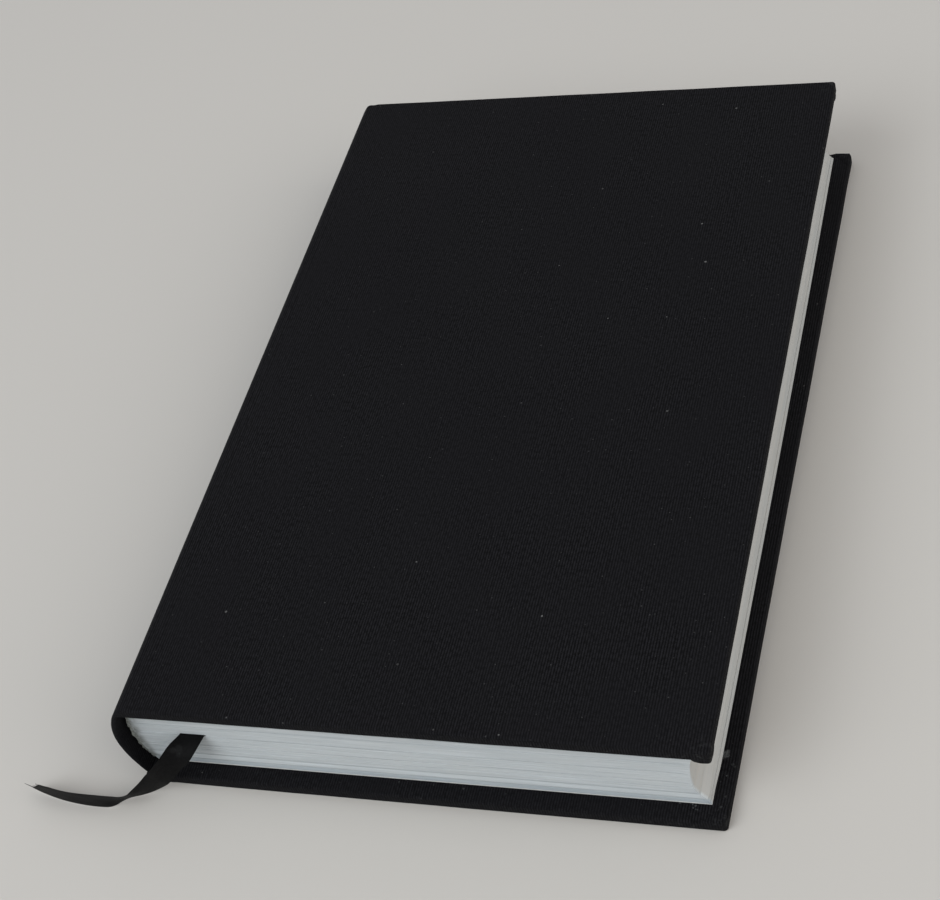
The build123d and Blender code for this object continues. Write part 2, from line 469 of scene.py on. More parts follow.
def add_corner_fold(bm, end, side):
    """The folded cloth inside one fore-edge corner of a cover, at its tail or its head."""
    front = side == "front"
    back = cover_corner_radius * (1 - sqrt(0.5))
    leg = corner_fold_leg[side]
    corners = [
        (fore_x - back, end * (half_height - back)),
        (fore_x - leg + corner_fold_slope, end * (half_height - edge_wobble)),
        (fore_x - leg, end * (half_height - edge_wobble)),
        (fore_x - edge_wobble, end * (half_height - leg)),
        (fore_x - edge_wobble, end * (half_height - leg + corner_fold_slope)),
    ]
    level = cover_thickness - cover_edge_radius
    base = [bm.verts.new((*askew(x, y, side), level)) for x, y in corners]
    face = bm.faces.new(base)
    raised = bmesh.ops.extrude_face_region(bm, geom=[face])["geom"]
    tops = [item for item in raised if isinstance(item, bmesh.types.BMVert)]
    bmesh.ops.translate(bm, verts=tops, vec=(0, 0, cover_edge_radius))
    ridge = []
    for vert in tops:
        reaches = [(vert.co.xy - Vector(askew(x, y, side))).length for x, y in corners]
        nearest = reaches.index(min(reaches))
        vert.co.z += corner_fold_lip[side] if nearest in (2, 3) else corner_fold_rise[side]
        if nearest in (1, 4):
            ridge.append(vert)
    bmesh.ops.connect_verts(bm, verts=ridge)
    edges = dict.fromkeys(edge for vert in tops for edge in vert.link_edges)
    rounded = bmesh.ops.bevel(
        bm,
        geom=list(edges),
        offset=corner_fold_bevel[side],
        offset_type="OFFSET",
        segments=3,
        profile=0.5,
        affect="EDGES",
        material=-1,
    )
    verts = dict.fromkeys([*base, *tops, *rounded["verts"]])
    verts = [vert for vert in verts if vert.is_valid]
    faces = dict.fromkeys(face for vert in verts for face in vert.link_faces)
    layer = bm.loops.layers.uv.active
    for face in faces:
        for loop in face.loops:
            loop[layer].uv = (inner_start - loop.vert.co.x, loop.vert.co.y)
    if front:
        for vert in verts:
            vert.co.z = book_thickness - vert.co.z
    bmesh.ops.recalc_face_normals(bm, faces=list(faces))


def mark_corners(piece, side):
    """Keeps how near each point is to a fore-edge corner of its cover, for the wear of the cloth."""
    wear = piece.data.attributes.new("corner", "FLOAT", "POINT")
    corners = [Vector(askew(fore_x, end * half_height, side)) for end in (-1, 1)]
    for vert, value in zip(piece.data.vertices, wear.data):
        reach = min((vert.co.xy - corner).length for corner in corners)
        value.value = ease(1 - reach / corner_wear_reach)


def spine_line(radius, up):
    """From the middle of the rounded spine to its shoulder: points of the outer face and their normals."""
    rise = middle_z - shoulder_drop - shoulder_radius
    shoulder_x = crest_x(radius)
    turn = atan2(rise, spine_x + radius - shoulder_x)
    line = []
    for angle in spread(0, turn, spine_columns):
        normal = Vector((-cos(angle), up * sin(angle)))
        line.append((Vector((spine_x + radius, middle_z)) + radius * normal, normal))
    for angle in spread(turn, pi / 2, shoulder_columns)[1:]:
        normal = Vector((-cos(angle), up * sin(angle)))
        line.append((Vector((shoulder_x, middle_z + up * rise)) + shoulder_radius * normal, normal))
    return line


def spine_wrap(material):
    """The cloth over the spine's strip, folded over the strip's ends."""
    lower = spine_line(spine_lower_radius, -1)
    upper = spine_line(spine_upper_radius, 1)
    outer = list(reversed(lower)) + upper[1:]
    strip_reach = (strip_high.z - strip_low.z) / 2
    section = []
    for point, normal in outer:
        share = ease((abs(point.y - middle_z) - strip_reach) / spine_taper)
        thickness = spine_build + (joint_thickness - spine_build) * share
        section.append((point, normal, thickness, 0.0))
    section += [(point, normal, thickness, 1.0) for point, normal, thickness, _ in reversed(section)]
    lengths = [0.0]
    for before, after in zip(section, section[1:] + section[:1]):
        lengths.append(lengths[-1] + (after[0] - before[0]).length + abs(after[3] - before[3]) * before[2])
    steps = range(spine_end_rows + 1)
    ends = [spine_build / 2 * (1 - cos(pi / 2 * index / spine_end_rows)) for index in steps]
    rows = [distance - half_height for distance in ends]
    rows += spread(rows[-1], -rows[-1], long_rows)[1:-1]
    rows += [half_height - distance for distance in reversed(ends)]

    def place(column, row):
        point, normal, thickness, inner = section[column % len(section)]
        distance = half_height - abs(rows[row])
        fall = edge_fall(distance, joint_edge_share * thickness)
        depth = thickness - fall if inner else fall
        spot = point - normal * depth
        wobble = Vector((spot.y, rows[row], 5.0)) / edge_wobble_pitch
        y = rows[row] + (edge_wobble * noise.noise(wobble) if distance < spine_build else 0.0)
        return Vector((*askew(spot.x, y, "spine"), spot.y))

    def flat(column, row):
        return (lengths[column], rows[row])

    bm = bent_grid(len(section), len(rows) - 1, place, flat)
    close_tube(bm)
    return finish_piece(bm, "spine_wrap", [material])


# Leaves

def arc_drop(radius, reach):
    """How far an arc falls away from its tangent at a reach from where they touch."""
    return radius - sqrt(radius**2 - reach**2)


def back_line(z):
    """Where the rounded back of the leaves lies at a height."""
    radius = back_upper_radius if z > rounding_height else back_lower_radius
    return block_back_x + arc_drop(radius, z - rounding_height)


def fore_line(z):
    """Where the hollow fore-edge of the leaves lies at a height."""
    radius = fore_edge_upper_radius if z > rounding_height else fore_edge_lower_radius
    return leaf_fore_x - fore_edge_hollow + arc_drop(radius, z - rounding_height)


def tail_corner_line(z):
    """Where the fore-edge lies at its tail corner, where the lowest leaves splay outwards."""
    height = z - block_low.z
    for (low, first), (high, second) in zip(splayed_corner, splayed_corner[1:]):
        if height < high:
            return leaf_fore_x - first - (second - first) * (height - low) / (high - low)
    return fore_line(z)


def leaf_outline(slot_shares, glue_and_shade_share, blend_share):
    """Round one leaf: (side, share along it, inside the ribbon's slot)."""
    low, high = slot_shares
    wall = slot_wall_share
    shares = spread(0, glue_and_shade_share, glue_columns)[:-1] + spread(glue_and_shade_share, 1, tail_columns)[:-1]
    tail = [(share, False) for share in shares if not low - wall < share < high + wall]
    tail += [(low, False), (low + wall, True), ((low + high) / 2, True), (high - wall, True), (high, False)]
    outline = [("tail", share, inside) for share, inside in sorted(tail)]
    corner_share = fore_corner_blends * blend_share
    fore = spread(0, blend_share, fore_blend_columns)[:-1]
    fore += spread(blend_share, corner_share, fore_corner_columns)[:-1]
    fore += spread(corner_share, 1 - blend_share, fore_columns)
    fore += spread(1 - blend_share, 1, fore_blend_columns)[1:-1]
    outline += [("fore", share, False) for share in fore]
    outline += [("head", share, False) for share in spread(0, 1, head_columns)[:-1]]
    outline += [("back", share, False) for share in spread(0, 1, back_columns)[:-1]]
    return outline


def leaf_stack(edge_material, face_material):
    """The leaves, each with a small step at its trimmed edges, and the ribbon's slot between them."""
    draw = random.Random(11)
    low_z = block_low.z
    pitch = (block_high.z - low_z) / leaf_count
    ribbon_x, _, ribbon_z = ribbon_route[0]
    slot_half = ribbon_width / 2 + ribbon_slot_side
    wide = fore_line(ribbon_z) - back_line(ribbon_z)
    middle_share = (ribbon_x - back_line(ribbon_z)) / wide
    leaf_height = 2 * leaf_half_height + leaf_head_lead
    slot_shares = (middle_share - slot_half / wide, middle_share + slot_half / wide)
    outline = leaf_outline(slot_shares, glue_and_shade_reach / wide, fore_blend_reach / leaf_height)
    slot_leaf = round((ribbon_z - low_z) / pitch)
    steps = []
    for leaf in range(leaf_count):
        if leaf % leaves_in_gathering == 0:
            group = [draw.uniform(-gathering_scatter, gathering_scatter) for _ in range(3)]
        step = [part + draw.uniform(-leaf_scatter, leaf_scatter) for part in group]
        if leaf % leaves_in_gathering == 0 and leaf:
            step = [part - gathering_recess * draw.uniform(*gathering_recess_shares) for part in step]
        step[1] *= fore_scatter_share
        if leaf == fore_crease_leaf:
            step[1] -= fore_crease_depth
        steps.append(dict(zip(("tail", "fore", "head"), step), back=0.0))

    def place(column, row):
        side, share, inside = outline[column % len(outline)]
        leaf = min(row // 2, leaf_count - 1)
        level = low_z + pitch * (leaf + row % 2)
        step = steps[leaf][side] - gathering_scatter
        group_end = min(abs(leaf + 0.5 - last) for last in loose_group_leaves) * pitch
        rounded = edge_fall(group_end, loose_group_round)
        back, fore, corner = back_line(level), fore_line(level), tail_corner_line(level)
        tail = rounded - leaf_half_height
        if side == "tail":
            spot = Vector((back + share * (corner - rounded - back), tail, level))
            outward = Vector((0, -1, 0))
        elif side == "fore":
            loose = ease(1 - share * leaf_height / loose_group_reach)
            fore += (corner - fore) * loose + fore_edge_bow * sin(pi * share)
            fore -= rounded * ease(1 - share * leaf_height / loose_round_reach)
            spot = Vector((fore, tail + share * (leaf_height - rounded), level))
            outward = Vector((1, 0, 0))
        elif side == "head":
            spot = Vector((fore - share * (fore - back), leaf_height - leaf_half_height, level))
            outward = Vector((0, 1, 0))
        else:
            spot = Vector((back, tail + (1 - share) * (leaf_height - rounded), level))
            outward = Vector((-1, 0, 0))
        step += leaf_wave * noise.noise(Vector((spot.x, spot.y, leaf * leaf_wave_pitch)) / leaf_wave_pitch)
        if side == "tail":
            near = exp(-(((spot.x - ribbon_x) / ribbon_bulge_width) ** 2))
            gap = level - ribbon_z
            lift = ribbon_bulge * near * exp(-abs(gap) / ribbon_bulge_height)
            spot.z += lift if gap > 0 else -lift
        if inside and leaf in (slot_leaf - 1, slot_leaf):
            step = -ribbon_slot_depth
        if min(share, 1 - share) == 0.0:
            step = 0.0
        return spot + outward * step

    def flat(column, row):
        side, share, _ = outline[column % len(outline)]
        length = leaf_height if side in ("fore", "back") else wide
        return (share * length, low_z + pitch * (row + 1) / 2)

    bm = bent_grid(len(outline), 2 * leaf_count - 1, place, flat)
    caps = close_tube(bm)
    layer = bm.loops.layers.uv.active
    for face in caps:
        face.material_index = 1
        for loop in face.loops:
            loop[layer].uv = loop.vert.co.xy
    piece = finish_piece(bm, "leaves", [edge_material, face_material])
    # fore marks the fore-edge faces, which take the painted warm light in leaf_edges
    fore = piece.data.attributes.new("fore", "FLOAT", "POINT")
    # glue marks how near each point is to the back of the leaves, for the glue stain and painted shade
    # beside the lining
    glue_and_shade = piece.data.attributes.new("glue", "FLOAT", "POINT")
    for vert, fore_face_share, glued in zip(piece.data.vertices, fore.data, glue_and_shade.data):
        loose = ease(1 - (vert.co.y + leaf_half_height) / loose_group_reach)
        line = fore_line(vert.co.z)
        line += (tail_corner_line(vert.co.z) - line) * loose
        on_fore = vert.co.x > line - fore_blend_reach
        fore_face_share.value = ease((vert.co.y + leaf_half_height) / fore_blend_reach - 1) if on_fore else 0.0
        glued.value = ease(1 - (vert.co.x - back_line(vert.co.z)) / glue_and_shade_reach)
    return piece


def glued_lining(material):
    """The lining on the back of the leaves, lumpy with glue and ragged at its ends."""
    thickness = block_back_x - lining_low.x
    heights = spread(lining_low.z, lining_high.z, lining_columns)
    section = [(z, 1.0) for z in heights] + [(z, 0.0) for z in reversed(heights)]
    rows = [distance - leaf_half_height for distance in lining_end_rows]
    rows += spread(rows[-1], -rows[-1], lining_rows)[1:-1]
    rows += [leaf_half_height - distance for distance in reversed(lining_end_rows)]

    def place(column, row):
        z, outside = section[column % len(section)]
        y = rows[row]
        near_end = exp(-(leaf_half_height - abs(y)) / lining_lump_pitch)
        radius = back_upper_radius if z > rounding_height else back_lower_radius
        normal = Vector((back_line(z) - block_back_x - radius, 0, z - rounding_height)).normalized()
        lump = noise.noise(Vector((0, y, z)) / lining_lump_pitch)
        fine = noise.noise(Vector((3, y, z)) / lining_lump_pitch * lining_fine_ratio)
        lumps = near_end * lining_lumps * (1 + lining_lump_share * lump + lining_fine_share * fine)
        out = outside * (thickness * lining_body_share + lumps)
        ragged = near_end * lining_ragged * (lump + lining_rag_fine_share * fine - lining_rag_middle)
        y += ragged if y > 0 else -ragged
        return Vector((back_line(z), y, z)) + normal * (out + endpaper_clearance)

    def flat(column, row):
        return (section[column % len(section)][0], rows[row])

    bm = bent_grid(len(section), len(rows) - 1, place, flat)
    close_tube(bm)
    return finish_piece(bm, "glued_lining", [material])


def endpaper(name, front, material):
    """The leaf glued inside a cover and over its joint to the back of the leaves."""
    back_x = back_line(block_high.z if front else block_low.z)
    window_x = fore_x - turn_in
    xs = spread(back_x, board_x, endpaper_joint_columns)
    xs += spread(board_x, window_x, endpaper_columns)[1:] + [window_x + turn_in_edge]
    xs += spread(window_x + turn_in_edge, leaf_fore_x, endpaper_edge_steps)[1:]
    half = leaf_half_height
    window_y = half_height - turn_in
    rows = spread(-half, -window_y - turn_in_edge, endpaper_edge_steps)
    rows += spread(-window_y, window_y, endpaper_rows)
    rows += spread(window_y + turn_in_edge, half, endpaper_edge_steps)
    section = [(x, 1.0) for x in xs] + [(x, 0.0) for x in reversed(xs)]
    low = block_low.z - endpaper_clearance

    def place(column, row):
        x, upper = section[column % len(section)]
        y = rows[row]
        glued = ease((x - hinge_x) / (board_x - hinge_x))
        inside = x < window_x + turn_in_edge / 2 and abs(y) < window_y + turn_in_edge / 2
        dip = window_depth * ease((x - board_x) / endpaper_dip_reach) if inside else 0.0
        bottom = cover_thickness + endpaper_clearance - dip
        top = bottom + endpaper_thickness
        hinge_bottom = low - endpaper_hinge_thickness
        depth = hinge_bottom + (bottom - hinge_bottom) * glued
        if upper:
            depth = low + (top - low) * glued
        return Vector((x, y, book_thickness - depth if front else depth))

    def flat(column, row):
        return (section[column % len(section)][0], rows[row])

    bm = bent_grid(len(section), len(rows) - 1, place, flat)
    close_tube(bm)
    return finish_piece(bm, name, [material])


# Ribbon marker

def smooth_line(route):
    """Points read from a smooth spline along a route."""
    curve = bpy.data.curves.new("route", "CURVE")
    curve.dimensions = "3D"
    curve.resolution_u = 12
    spline = curve.splines.new("NURBS")
    spline.points.add(len(route) - 1)
    for point, place in zip(spline.points, route):
        point.co = (*place, 1.0)
    spline.order_u = 3
    spline.use_endpoint_u = True
    carrier = bpy.data.objects.new("route", curve)
    mesh = bpy.data.meshes.new_from_object(carrier)
    points = [vert.co.copy() for vert in mesh.vertices]
    bpy.data.meshes.remove(mesh)
    bpy.data.objects.remove(carrier)
    bpy.data.curves.remove(curve)
    return points


def ribbon(material):
    """The ribbon from between the leaves to its slanted, frayed cut end, with the line it follows."""
    line = smooth_line(ribbon_route)
    turns = smooth_line([(turn * pi / 180, 0, 0) for turn in ribbon_turns_deg])
    frames = []
    for index, point in enumerate(line):
        run = (line[min(index + 1, len(line) - 1)] - line[max(index - 1, 0)]).normalized()
        level = run.cross(Vector((0, 0, 1))).normalized()
        across = Quaternion(run, -turns[index].x) @ level
        frames.append((point, run, across, across.cross(run)))
    point, run, across, normal = frames[0]
    run = Vector((0, -1, 0))
    across = Vector((-1, 0, 0))
    frames[0] = (point, run, across, across.cross(run))
    reaches = spread(ribbon_tongue, 0, ribbon_tongue_rows)[:-1]
    frames = [(point - run * reach, run, across, across.cross(run)) for reach in reaches] + frames
    widths = spread(-1, 1, ribbon_columns)
    section = [(width, 1.0) for width in widths] + [(width, -1.0) for width in reversed(widths)]
    run_lengths = [0.0]
    for before, after in zip(frames, frames[1:]):
        run_lengths.append(run_lengths[-1] + (after[0] - before[0]).length)

    def place(column, row):
        width, face = section[column % len(section)]
        point, run, across, normal = frames[row]
        free = ease((run_lengths[row] - ribbon_tongue) / ribbon_width)
        edge = 1 - ribbon_edge_share * abs(width) ** ribbon_edge_power
        lift = face * ribbon_thickness / 2 * edge + free * ribbon_cup * (width**2 - ribbon_cup_middle)
        cut = ease(1 - (run_lengths[-1] - run_lengths[row]) / ribbon_cut_length)
        ripple = fray_length * fray_ripple_share * noise.noise(Vector((width * fray_ripples, 0, 0)))
        reach = cut * (ripple - ribbon_cut_slant * width)
        return point + across * (width * ribbon_width / 2) + normal * lift + run * reach

    def flat(column, row):
        return (section[column % len(section)][0] * ribbon_width / 2, run_lengths[row])

    bm = bent_grid(len(section), len(frames) - 1, place, flat)
    close_tube(bm)
    add_fray(bm, frames[-1])
    piece = finish_piece(bm, "ribbon", [material])
    return piece, line


def add_fray(bm, end):
    """Loose threads at the ribbon's cut end, with a longer wisp at its lower corner."""
    draw = random.Random(4)
    point, run, across, normal = end
    for index in range(fray_threads):
        width = -fray_span_share + 2 * fray_span_share * index / (fray_threads - 1)
        back = ribbon_cut_slant * width + fray_length / 3
        root = point + across * (width * ribbon_width / 2) - run * back
        aside, up = fray_lean_shares
        lean = Vector((draw.uniform(-aside, aside), draw.uniform(-up, up), 0))
        aim = (run + across * lean.x + normal * lean.y).normalized()
        length = fray_length * draw.uniform(*fray_length_shares)
        radius = fray_radius
        if index == 0:
            aim, length, radius = run, wisp_length, wisp_radius
        turn = Vector((0, 0, 1)).rotation_difference(aim).to_matrix().to_4x4()
        bmesh.ops.create_cone(
            bm,
            cap_ends=True,
            segments=fray_sides,
            radius1=radius,
            radius2=radius * fray_tip_share,
            depth=length,
            matrix=Matrix.Translation(root + aim * length / 2) @ turn,
        )


# Materials

def feed(tree, socket, value):
    """Sets an input, or links it."""
    if isinstance(value, bpy.types.NodeSocket):
        tree.links.new(value, socket)
    else:
        socket.default_value = value


def add_node(tree, kind, inputs=None, **settings):
    """Adds a node, sets its properties, and sets or links its inputs."""
    node = tree.nodes.new(kind)
    for name, value in settings.items():
        setattr(node, name, value)
    for name, value in (inputs or {}).items():
        feed(tree, node.inputs[name], value)
    return node


def sums(tree, operation, first, second=0.0, third=0.0):
    """One step of arithmetic."""
    values = {0: first, 1: second, 2: third}
    return add_node(tree, "ShaderNodeMath", values, operation=operation).outputs[0]


def times(tree, first, second):
    """Two values multiplied."""
    return sums(tree, "MULTIPLY", first, second)


def mix_colour(tree, factor, first, second):
    """A colour between two others."""
    node = add_node(tree, "ShaderNodeMix", data_type="RGBA")
    for index, value in ((0, factor), (6, first), (7, second)):
        feed(tree, node.inputs[index], value)
    return node.outputs[2]


def ranged(tree, value, low, high, to_low=0.0, to_high=1.0):
    """A value brought from one range to another and kept in it."""
    inputs = {0: value, 1: low, 2: high, 3: to_low, 4: to_high}
    return add_node(tree, "ShaderNodeMapRange", inputs, interpolation_type="SMOOTHSTEP").outputs[0]


def new_group(name, inputs, outputs):
    """An empty node group with its sockets: the tree, its inputs and the node that takes its outputs."""
    tree = bpy.data.node_groups.new(name, "ShaderNodeTree")
    for socket, value in inputs.items():
        kind = "NodeSocketVector" if value is None else "NodeSocketFloat"
        made = tree.interface.new_socket(socket, in_out="INPUT", socket_type=kind)
        if value is not None:
            made.default_value = value
    for socket in outputs:
        tree.interface.new_socket(socket, in_out="OUTPUT", socket_type="NodeSocketFloat")
    return tree, tree.nodes.new("NodeGroupInput").outputs, tree.nodes.new("NodeGroupOutput").inputs


def use_group(tree, group, inputs):
    """Places a node group in a material and gives its outputs."""
    node = tree.nodes.new("ShaderNodeGroup")
    node.node_tree = group
    for name, value in inputs.items():
        feed(tree, node.inputs[name], value)
    return node.outputs


def scaled(tree, vector, factors):
    """A vector stretched along its axes."""
    return add_node(tree, "ShaderNodeVectorMath", {0: vector, 1: factors}, operation="MULTIPLY").outputs[0]


def counted(tree, vector, per_unit):
    """A vector counted in units of a length."""
    inputs = {"Vector": vector, "Scale": per_unit}
    return add_node(tree, "ShaderNodeVectorMath", inputs, operation="SCALE").outputs[0]


def parts(tree, vector):
    """The three parts of a vector."""
    return add_node(tree, "ShaderNodeSeparateXYZ", {0: vector}).outputs


def joined(tree, x, y, z):
    """A vector from its three parts."""
    return add_node(tree, "ShaderNodeCombineXYZ", {0: x, 1: y, 2: z}).outputs[0]


def marked(tree, name):
    """A piece's own mark at a point, from 0 to 1."""
    return add_node(tree, "ShaderNodeAttribute", attribute_name=name).outputs["Fac"]


def noise_value(tree, vector, detail=2.0, roughness=0.5):
    """Soft noise with features about one unit wide."""
    inputs = {"Vector": vector, "Scale": 1.0, "Detail": detail, "Roughness": roughness}
    return add_node(tree, "ShaderNodeTexNoise", inputs).outputs[0]


def make_weave():
    """Book cloth: round ribs along the spine, crossed by finer threads, with uneven yarn."""
    tree, given, made = new_group(
        "Ribbed weave", {"Flat": None, "Rib pitch": 0.0005, "Cross pitch": 0.0004}, ["Height", "Yarn"]
    )
    flat = parts(tree, given["Flat"])
    wander = noise_value(tree, scaled(tree, given["Flat"], rib_wander_scale))
    rib_place = sums(tree, "DIVIDE", flat[0], given["Rib pitch"])
    rib_place = sums(tree, "MULTIPLY_ADD", wander, rib_wander, rib_place)
    rib = sums(tree, "ABSOLUTE", sums(tree, "SINE", times(tree, rib_place, pi)))
    rib_number = sums(tree, "FLOOR", rib_place)
    cross_place = sums(tree, "DIVIDE", flat[1], given["Cross pitch"])
    cross_place = sums(tree, "MULTIPLY_ADD", rib_number, 0.5, cross_place)
    cross = sums(tree, "ABSOLUTE", sums(tree, "SINE", times(tree, cross_place, pi)))
    slub = noise_value(tree, scaled(tree, given["Flat"], slub_scale), 3.0, 0.65)
    height = sums(tree, "MULTIPLY_ADD", times(tree, rib, cross), cross_height_share, rib)
    height = times(tree, height, ranged(tree, slub, 0.3, 0.7, 0.45, 1.25))
    patch = noise_value(tree, scaled(tree, given["Flat"], weave_patch_scale))
    clear = ranged(tree, patch, 0.3, 0.65, 0.6, 1.0)
    yarn = sums(tree, "SUBTRACT", ranged(tree, height, 0.0, 1.4), 0.5)
    tree.links.new(height, made["Height"])
    tree.links.new(sums(tree, "MULTIPLY_ADD", yarn, clear, 0.5), made["Yarn"])
    return tree


def make_dust():
    """Scattered specks of dust and lint, each with its own size."""
    inputs = {"Flat": None, "Spacing": 0.006, "Size": 0.0002, "Share": 0.3}
    tree, given, made = new_group("Dust", inputs, ["Specks"])
    per_spacing = sums(tree, "DIVIDE", 1.0, given["Spacing"])
    place = counted(tree, given["Flat"], per_spacing)
    cells = add_node(
        tree, "ShaderNodeTexVoronoi", {"Vector": place, "Scale": 1.0}, voronoi_dimensions="2D", feature="F1"
    ).outputs
    chance = add_node(tree, "ShaderNodeSeparateColor", {0: cells["Color"]}).outputs
    size = times(tree, times(tree, given["Size"], per_spacing), chance[0])
    ragged = noise_value(tree, scaled(tree, given["Flat"], speck_edge_scale))
    distance = sums(tree, "MULTIPLY_ADD", sums(tree, "SUBTRACT", ragged, 0.5), size, cells["Distance"])
    near = sums(tree, "LESS_THAN", distance, size)
    there = sums(tree, "LESS_THAN", chance[1], given["Share"])
    bright = times(tree, near, there)
    strength = ranged(tree, chance[2], 0.0, 1.0, 0.3, 1.0)
    tree.links.new(times(tree, bright, strength), made["Specks"])
    return tree


def make_rubbing():
    """Patchy wear of the corners."""
    tree, given, made = new_group("Rubbing", {"Flat": None, "Corner": 0.0, "Patch": 0.004}, ["Worn"])
    per_patch = sums(tree, "DIVIDE", 1.0, given["Patch"])
    place = counted(tree, given["Flat"], per_patch)
    patches = ranged(tree, noise_value(tree, place, 5.0, 0.65), 0.5, 0.7)
    tree.links.new(times(tree, given["Corner"], patches), made["Worn"])
    return tree


def make_scuff_and_sheen_spot():
    """A small lighter spot at one place: a rubbed scuff on the cloth, and painted sheen on the ribbon."""
    inputs = {"Flat": None, "Across": 0.0, "Along": 0.0, "Radius": 0.002}
    tree, given, made = new_group("Scuff and sheen spot", inputs, ["Spot"])
    flat = parts(tree, given["Flat"])
    aside = sums(tree, "SUBTRACT", flat[0], given["Across"])
    along = sums(tree, "SUBTRACT", flat[1], given["Along"])
    square = sums(tree, "MULTIPLY_ADD", along, along, times(tree, aside, aside))
    share = sums(tree, "DIVIDE", sums(tree, "SQRT", square), given["Radius"])
    ragged = noise_value(tree, scaled(tree, given["Flat"], slub_scale), 4.0, 0.6)
    edge = sums(tree, "MULTIPLY_ADD", sums(tree, "SUBTRACT", ragged, 0.5), scuff_raggedness, share)
    grain = noise_value(tree, scaled(tree, given["Flat"], scuff_grain_scale))
    spot = ranged(tree, edge, 0.55, 1.0, 1.0, 0.0)
    tree.links.new(times(tree, spot, ranged(tree, grain, 0.3, 0.65, 0.25, 1.0)), made["Spot"])
    return tree


def make_leaf_lines():
    """The fine lines of stacked leaves, seen at their trimmed edges."""
    tree, given, made = new_group("Leaf lines", {"Place": None, "Leaf": 0.0001}, ["Lines", "Bands"])
    per_leaf = sums(tree, "DIVIDE", 1.0, given["Leaf"])
    level = parts(tree, given["Place"])[2]
    drift = noise_value(tree, scaled(tree, given["Place"], leaf_drift_scale))
    leaf = sums(tree, "MULTIPLY_ADD", drift, leaf_drift, times(tree, level, per_leaf))
    length = scaled(tree, given["Place"], leaf_length_scale)
    along_x, along_y, _ = parts(tree, length)
    fine = noise_value(tree, joined(tree, along_x, along_y, leaf), 1.0)
    band_place = joined(tree, along_x, along_y, times(tree, leaf, leaf_band_ratio))
    tree.links.new(ranged(tree, fine, 0.3, 0.7), made["Lines"])
    tree.links.new(ranged(tree, noise_value(tree, band_place, 2.0), 0.35, 0.65), made["Bands"])
    return tree


def make_grain():
    """The cloudy grain of paper and card."""
    tree, given, made = new_group("Paper grain", {"Place": None, "Fibre": 0.0004}, ["Grain", "Cloud"])
    per_fibre = sums(tree, "DIVIDE", 1.0, given["Fibre"])
    place = counted(tree, given["Place"], per_fibre)
    tree.links.new(noise_value(tree, place, 4.0, 0.6), made["Grain"])
    tree.links.new(noise_value(tree, scaled(tree, place, grain_cloud_scale), 3.0), made["Cloud"])
    return tree


def new_material(name, **constants):
    """A material with one Principled shader, whose plain values are set on its own sockets."""
    material = bpy.data.materials.new(name)
    material.use_nodes = True
    tree = material.node_tree
    shader = tree.nodes["Principled BSDF"]
    for socket, value in constants.items():
        shader.inputs[socket.replace("_", " ")].default_value = value
    return material, tree, shader.inputs


def bump(tree, height, distance, strength):
    """A normal from a height."""
    inputs = {"Height": height, "Distance": distance, "Strength": strength}
    return add_node(tree, "ShaderNodeBump", inputs).outputs[0]


def flat_place(tree):
    """The piece's own flat cloth or paper coordinates, in metres."""
    return add_node(tree, "ShaderNodeUVMap", uv_map="flat").outputs[0]


def object_place(tree):
    """Object coordinates, in metres."""
    return add_node(tree, "ShaderNodeTexCoord").outputs["Object"]


def add_scuffs_and_sheen(tree, flat, colour, scuffs):
    """A colour with lighter spots on it, rubbed scuffs on the cloth and painted sheen on the ribbon:
    (across, along, radius, strength).
    """
    for across, along, radius, strength in scuffs:
        inputs = {"Flat": flat, "Across": across, "Along": along, "Radius": radius}
        spot = use_group(tree, scuff_and_sheen_spot, inputs)["Spot"]
        colour = mix_colour(tree, times(tree, spot, strength), colour, scuff_and_sheen_grey)
    return colour


def book_cloth(name, scuffs):
    """Black ribbed book cloth with dust, paler rubbed corners and a few scuffs."""
    material, tree, shader = new_material(
        name, Specular_IOR_Level=0.05, Sheen_Weight=0.006, Sheen_Roughness=0.5
    )
    flat = flat_place(tree)
    woven = use_group(tree, weave, {"Flat": flat, "Rib pitch": rib_pitch, "Cross pitch": cross_pitch})
    colour = mix_colour(tree, woven["Yarn"], cloth_dark, cloth_light)
    cloud = noise_value(tree, scaled(tree, flat, cloth_cloud_scale), 3.0)
    colour = mix_colour(tree, ranged(tree, cloud, 0.3, 0.75, 0.0, cloth_fade_share), colour, cloth_faded)
    corner = marked(tree, "corner")
    worn = use_group(tree, rubbing, {"Flat": flat, "Corner": corner, "Patch": corner_patch})["Worn"]
    colour = mix_colour(tree, times(tree, worn, corner_rub_share), colour, cloth_rubbed)
    colour = add_scuffs_and_sheen(tree, flat, colour, scuffs)
    for spacing, size, share, strength in dust_layers:
        inputs = {"Flat": flat, "Spacing": spacing, "Size": size, "Share": share}
        specks = use_group(tree, dust, inputs)["Specks"]
        colour = mix_colour(tree, times(tree, specks, strength), colour, dust_white)
    tree.links.new(colour, shader["Base Color"])
    tree.links.new(ranged(tree, cloud, 0.3, 0.7, *cloth_roughness), shader["Roughness"])
    tree.links.new(bump(tree, woven["Height"], weave_depth, 0.8), shader["Normal"])
    return material


def below(tree, height, level, strength):
    """A strength below a level of the stacked leaves, and nothing above it."""
    return ranged(tree, height, level - leaf_thickness, level + leaf_thickness, strength, 0.0)


